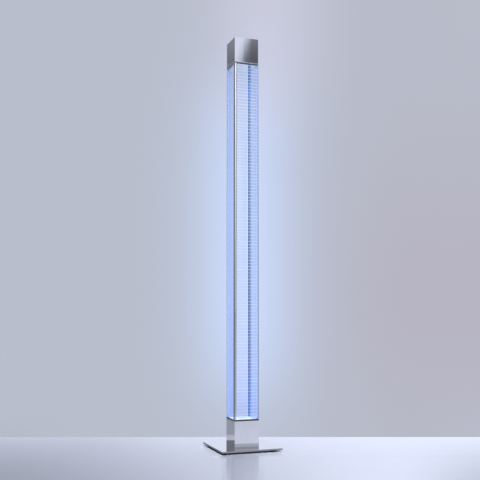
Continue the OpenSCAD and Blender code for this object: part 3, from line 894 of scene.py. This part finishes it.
def table_top():
    m, t = new_mat("table_top")
    v = place(t)
    c = xyz(t, v)
    dx, dy = c[0] - EYE.x, c[1] - EYE.y
    q = dx * HEAD.x + dy * HEAD.y
    r = dx * SIDE.x + dy * SIDE.y
    u = r / (q * math.cos(PITCH) - EYE.z * math.sin(PITCH)) * FOCAL    # across the picture
    far = q.line(2.08, 2.74)
    bright, left, corner = u.step(-110.0, 180.0), u.step(-120.0, -235.0), u.step(150.0, 270.0)
    # painted light: the table is lighter towards the back and to the right, a little lighter at the far left, and
    # darker again in the near right corner
    lum = far * (far * 0.055 + 0.181) + bright * (far * -0.138 + 0.325) + left * (far * far * 0.106 + 0.011)
    lum = lum + corner * (far * 0.300 - 0.309) + 0.411
    grain = noise(t, v, 700.0, 3.0, 0.6)
    cloud = noise(t, v, 6.0, 3.0)
    # painted shadow: under the plate the table's tone is cut almost to black, less towards the plate's right end
    painted_shadow_under_plate = c[0].abs().op("MAXIMUM", c[1].abs()).step(0.1015, 0.0985) * c[0].step(0.11, 0.02, 0.55, 0.95)
    lum = lum * (cloud * 0.02 + grain * 0.01 + 0.985)
    # painted light: just in front of the plate and beside its left edge the table is lightened, which softens the
    # plate's shade there
    lip = (c[1] * -1.0).step(0.160, 0.104) * (c[1] * -1.0).step(0.096, 0.100) * c[0].step(-0.138, -0.112) * c[0].step(0.100, 0.082)
    side = (c[0] * -1.0).step(0.126, 0.100) * (c[0] * -1.0).step(0.097, 0.101) * c[1].step(0.105, 0.040) * c[1].step(-0.110, -0.094)
    lum = lum * (lip * 0.42 + side * 0.85 + 1.0)
    # painted reflection: with the real one, soft darker and lighter streaks in front of the lamp make its image in the
    # table lose its outline towards the camera
    near, fade = q.step(2.450, 2.415) * q.step(1.86, 2.07), q.line(2.355, 2.120)
    flat = u.step(-9.0, -5.0) * u.step(24.0, 12.0) * (fade * 0.076 - 0.076) - u.step(-5.6, -4.4) * u.step(10.0, -1.0) * 0.034
    flat = flat - q.hump(2.400, 0.025) * u.step(13.0, -10.0, 0.02, 0.17) * u.step(-19.0, -13.0)
    flat = flat - q.hump(2.426, 0.014) * u.step(3.0, 7.0) * u.step(20.0, 12.0) * 0.06
    ramp = u.hump(-11.5, 3.8) * fade * 0.06 - u.hump(-15.5, 2.6) * (fade * (fade * -1.0 + 1.0) * 0.24 + 0.035)
    ramp = ramp + u.hump(-12.0, 2.2) * fade * 0.05 - u.hump(-16.3, 1.8) * q.line(2.16, 2.11) * 0.045
    right = u.hump(17.0, 2.0) * fade * 0.04 - u.hump(21.5, 2.4) * fade * 0.055
    right = right - u.step(17.0, 23.0) * u.step(95.0, 45.0) * q.step(2.385, 2.335) * 0.030
    lum = lum + (flat + ramp + right) * near
    principled(t, times(t, (0.985, 1.0, 1.042), lum * (painted_shadow_under_plate * -1.0 + 1.0)), cloud * 0.02 + 0.13, 0.0, bump(t, grain, 2e-7),
               Specular_IOR_Level=0.5)
    return m


def table_mirrored():
    """What polished metal sees of the table: the shaded strip along the plate, then the plain top."""
    m, t = new_mat("table_mirrored")
    v = place(t)
    c = xyz(t, v)
    y = c[1] - c[0] * 0.12
    front = y.step(-0.2625, -0.2665, 0.405, 0.655) * y.step(-0.201, -0.205, 0.69, 1.0) * c[1].step(-0.25, -0.80, 1.0, 0.93)
    rear = c[1].step(-0.10, 0.10)
    lum = front * (rear * -1.0 + 1.0) + rear * 0.60
    # to the left, as the side of the housing mirrors it: dark along the plate, a pale strip, then the wall's tone
    q = (c[0] * -1.0 - (0.112 + EYE.x)) * HEAD.x + (c[1] - EYE.y) * HEAD.y
    strip = q.step(2.697, 2.703, 0.175, 0.50) - q.step(2.775, 2.795) * 0.03 - q.step(2.800, 2.835) * 0.135
    left = (c[0] * -1.0).step(0.058, 0.062) * c[1].step(-0.12, -0.10)
    lum = lum * (left * -1.0 + 1.0) + strip * left
    soft = noise(t, v, 9.0, 2.0)
    lum = lum * (soft * 0.05 + 0.975)
    e = t.nodes.new("ShaderNodeEmission")
    t.links.new(times(t, GREY, lum), e.inputs["Color"])
    surface(t, e.outputs[0])
    return m


TABLE = 1.0
wide = 4.0
top = sheet_on_stage("table_top", [ground(NEAR_EDGE, -wide), ground(NEAR_EDGE, wide), ground(FAR_EDGE, wide),
                                   ground(FAR_EDGE, -wide)], table_top())
top.visible_glossy = False
low = Vector((0, 0, -0.4 * MM))   # a hair below, so that the table itself never mirrors it
seen = sheet_on_stage("table_mirrored", [ground(NEAR_EDGE, -wide) + low, ground(NEAR_EDGE, wide) + low,
                                         ground(FAR_EDGE, wide) + low, ground(FAR_EDGE, -wide) + low], table_mirrored())
seen.visible_camera = seen.visible_diffuse = seen.visible_shadow = seen.visible_transmission = False
seen.visible_volume_scatter = False


def flag(name, centre, facing, width, height, lum, soft=0.25):
    """A card that only polished surfaces see, with soft edges."""
    m, t = new_mat(name)
    uv = xyz(t, t.nodes.new("ShaderNodeTexCoord").outputs["Generated"])
    e = t.nodes.new("ShaderNodeEmission")
    e.inputs["Color"].default_value = tuple(g * lum for g in GREY) + (1.0,)
    clear = t.nodes.new("ShaderNodeBsdfTransparent")
    ex = (uv[0] - 0.5).abs().step(0.5, 0.5 - soft)
    ez = (uv[2] - 0.5).abs().step(0.5, 0.5 - soft)
    mix = t.nodes.new("ShaderNodeMixShader")
    t.links.new((ex * ez).socket, mix.inputs[0])
    t.links.new(clear.outputs[0], mix.inputs[1])
    t.links.new(e.outputs[0], mix.inputs[2])
    surface(t, mix.outputs[0])
    c, f = Vector(centre), Vector(facing).normalized()
    across = Vector((0, 0, 1)).cross(f).normalized() * width / 2
    up = Vector((0, 0, height / 2))
    o = sheet_on_stage(name, [c - across - up, c + across - up, c + across + up, c - across + up], m)
    o.visible_camera = o.visible_diffuse = o.visible_shadow = o.visible_transmission = False
    o.visible_volume_scatter = False
    return o


# ---------------------------------------------------------------- world
def world():
    w = bpy.data.worlds.new("studio")
    scene.world = w
    w.use_nodes = True
    t = w.node_tree
    t.nodes.clear()
    d = t.nodes.new("ShaderNodeTexCoord").outputs["Generated"]
    c = xyz(t, d)

    def along(vec):
        n = t.nodes.new("ShaderNodeVectorMath")
        n.operation = "DOT_PRODUCT"
        t.links.new(d, n.inputs[0])
        n.inputs[1].default_value = vec
        return Num(t, n.outputs["Value"])

    def lobe(az, el, inner, outer):
        """1 within inner degrees of a direction, 0 outside outer degrees. Azimuth runs from +Y towards +X."""
        a, e = math.radians(az), math.radians(el)
        v = (math.sin(a) * math.cos(e), math.cos(a) * math.cos(e), math.sin(e))
        return along(v).step(math.cos(math.radians(outer)), math.cos(math.radians(inner)))

    # the wall, as the camera sees it: tone patches to the right and at the lower left, and a painted pool of light
    # behind the upper part of the lamp
    fwd = along(look)
    right = along(SIDE)
    up = along(SIDE.cross(look))
    deep = fwd.op("MAXIMUM", 0.2)
    u, v = right / deep * FOCAL, up / deep * FOCAL
    ahead = fwd.step(0.2, 0.6)
    wall = (0.4793, 0.5149, 0.6038)
    pink = u.step(40.0, 175.0) * ahead
    mid = (v + 40.0).hump(0.0, 130.0)
    # painted light: a soft bright pool on the wall behind the upper part of the lamp
    bright = (u - 26.0).hump(0.0, 54.0) * v.step(70.0, 225.0) * ahead
    colour = tone(t, pink * (mid * 0.62 + 0.38), wall, (0.4742, 0.4605, 0.5450))
    colour = tone(t, pink * v.step(120.0, 230.0) * u.step(150.0, 240.0) * 0.6, colour, (0.4969, 0.5089, 0.5972))
    colour = tone(t, pink * v.step(-140.0, -185.0) * u.step(170.0, 235.0) * 0.7, colour, (0.4851, 0.4969, 0.5906))
    colour = tone(t, bright * 0.85, colour, (0.603, 0.610, 0.740))
    colour = tone(t, v.step(-160.0, -188.0) * u.step(-150.0, -245.0) * ahead * 0.6, colour, (0.4621, 0.4851, 0.5711))
    seen_by_camera = t.nodes.new("ShaderNodeBackground")
    t.links.new(colour, seen_by_camera.inputs["Color"])

    # the studio round it, as surfaces see it
    lum = c[2].step(-0.1, 0.9, 0.50, 0.95) + c[2].step(0.5, 0.95) * 0.55
    ground_l = c[2].step(-0.05, -0.3)
    lum = lum * (ground_l * -0.15 + 1.0)
    # pale and bright behind the lamp to the right, darker behind it to the left
    behind = lobe(32, 8, 14, 46)
    lum = lum * (behind * -1.0 + 1.0) + behind * c[2].step(0.02, 0.6, 0.80, 0.70)
    dim = lobe(-26, 6, 26, 44)
    shade = c[2].step(-0.1365, -0.124, 0.335, 0.165) + c[2].step(-0.03, 0.03) * 0.04 - c[2].step(0.11, 0.22) * 0.060
    shade = shade + c[2].step(0.288, 0.306) * 0.065
    high = c[2].step(0.3095, 0.3120)          # what only the cap mirrors
    shade = shade + high * ((c[2] - 0.3248) * 3.3)
    lum = lum * (dim * -1.0 + 1.0) + dim * shade
    # a large soft box in front, whose right edge the cap mirrors
    az = math.radians(160.02)
    side = c[0] * math.cos(az) - c[1] * math.sin(az)
    lean = ((c[2] - 0.3346) * -0.243).op("MINIMUM", 0.0060)
    lit = (side * -1.0 + lean).step(0.0060, -0.0056)
    front = lobe(160, 14, 22, 44)
    box_l = c[2].step(-0.16, 0.05, 0.40, 0.50) + c[2].step(0.02, 0.27) * 0.55 + c[2].step(0.20, 0.31) * 0.20
    dark_l = c[2].step(0.0, 0.22, 0.42, 0.155) - c[2].step(0.345, 0.312) * 0.028
    panel = box_l * lit + dark_l * (lit * -1.0 + 1.0)
    # high up the box ends in a paler half-tone before the dark of the room
    z = c[2]
    box_h = z.line(0.3250, 0.3156, 0.785, 0.727) - z.line(0.3339, 0.3156, 0.058, 0.331) * side.line(0.0119, 0.0033)
    half_h = ((z - 0.3156).op("MAXIMUM", 0.0).op("POWER", 1.5) * 108.0 + 0.167) * side.line(-0.0050, 0.0029, 0.70, 1.31)
    room_h = z.line(0.3156, 0.3271, 0.108, 0.144) + z.line(0.3271, 0.3355) * 0.049
    in_half, in_box = side.step(-0.0059, -0.0049), side.step(0.0028, 0.0037)
    panel_h = room_h * (in_half * -1.0 + 1.0) + in_half * (half_h * (in_box * -1.0 + 1.0) + box_h * in_box)
    panel = panel * (high * -1.0 + 1.0) + panel_h * high
    lum = lum * (front * -1.0 + 1.0) + front * panel
    # a small card on the right, dark on one side and pale on the other, for the cap's right side
    beside = lobe(90, 5, 9, 15)
    card = c[1].step(-0.032, -0.001, 0.24, 0.66) + c[2].step(0.02, 0.20) * 0.08
    lum = lum * (beside * -1.0 + 1.0) + beside * card
    studio = t.nodes.new("ShaderNodeBackground")
    t.links.new(times(t, GREY, lum), studio.inputs["Color"])
    pick = t.nodes.new("ShaderNodeMixShader")
    out = t.nodes.new("ShaderNodeOutputWorld")
    ray = t.nodes.new("ShaderNodeLightPath")
    t.links.new(ray.outputs["Is Camera Ray"], pick.inputs[0])
    t.links.new(studio.outputs[0], pick.inputs[1])
    t.links.new(seen_by_camera.outputs[0], pick.inputs[2])
    t.links.new(pick.outputs[0], out.inputs["Surface"])


world()

# low card in front of the lamp: tones the foot of the posts and the housing's image in the table
flag("low_card", (0.32, -1.05, 0.24), (-0.34, 0.94, 0), 1.3, 0.46, 0.40, 0.12)


def area(name, at, towards, size, power, colour=(1, 1, 1)):
    l = bpy.data.lights.new(name, "AREA")
    l.shape, l.size, l.energy, l.color = "SQUARE", size, power, colour
    o = bpy.data.objects.new(name, l)
    scene.collection.objects.link(o)
    o.location = at
    o.rotation_mode = "QUATERNION"
    o.rotation_quaternion = (Vector(towards) - Vector(at)).to_track_quat("-Z", "Y")
    o.visible_glossy = False
    return o


area("overhead", (0.9, 0.5, 2.6), (0.0, 0.0, 0.2), 2.2, 3.0, (0.95, 0.97, 1.0))


# ---------------------------------------------------------------- glow
def glow():
    """Light of the panes on the wall round them: the panes' own light, spread wide, times the wall's tone."""
    layer = bpy.context.view_layer
    layer.use_pass_emit = True
    layer.use_pass_environment = True
    scene.use_nodes = True
    t = scene.node_tree
    t.nodes.clear()
    rl = t.nodes.new("CompositorNodeRLayers")
    names = {o.name: o for o in rl.outputs}
    emit = names.get("Emit") or names.get("Emission")
    env = names.get("Env") or names.get("Environment")
    blur = t.nodes.new("CompositorNodeBlur")
    blur.filter_type = "FAST_GAUSS"
    spread = HALO_WIDTH * scene.render.resolution_x * scene.render.resolution_percentage / 100.0
    blur.inputs["Size"].default_value = (spread, spread)
    t.links.new(emit, blur.inputs["Image"])

    def mix(kind, a, b):
        n = t.nodes.new("CompositorNodeMixRGB")
        n.blend_type = kind
        n.inputs[0].default_value = 1.0
        for i, v in ((1, a), (2, b)):
            if isinstance(v, tuple):
                n.inputs[i].default_value = v
            else:
                t.links.new(v, n.inputs[i])
        return n.outputs[0]

    grey = t.nodes.new("CompositorNodeRGBToBW")
    t.links.new(blur.outputs[0], grey.inputs[0])
    square = t.nodes.new("CompositorNodeMath")
    square.operation = "MULTIPLY"
    t.links.new(grey.outputs[0], square.inputs[0])
    t.links.new(grey.outputs[0], square.inputs[1])
    lit = mix("MULTIPLY", mix("MULTIPLY", square.outputs[0], HALO), env)
    total = mix("ADD", names["Image"], lit)
    out = t.nodes.new("CompositorNodeComposite")
    t.links.new(total, out.inputs[0])


HALO_WIDTH = 0.0785
HALO = (144.0, 207.0, 324.0, 1.0)
glow()

# ---------------------------------------------------------------- size
lo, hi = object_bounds()
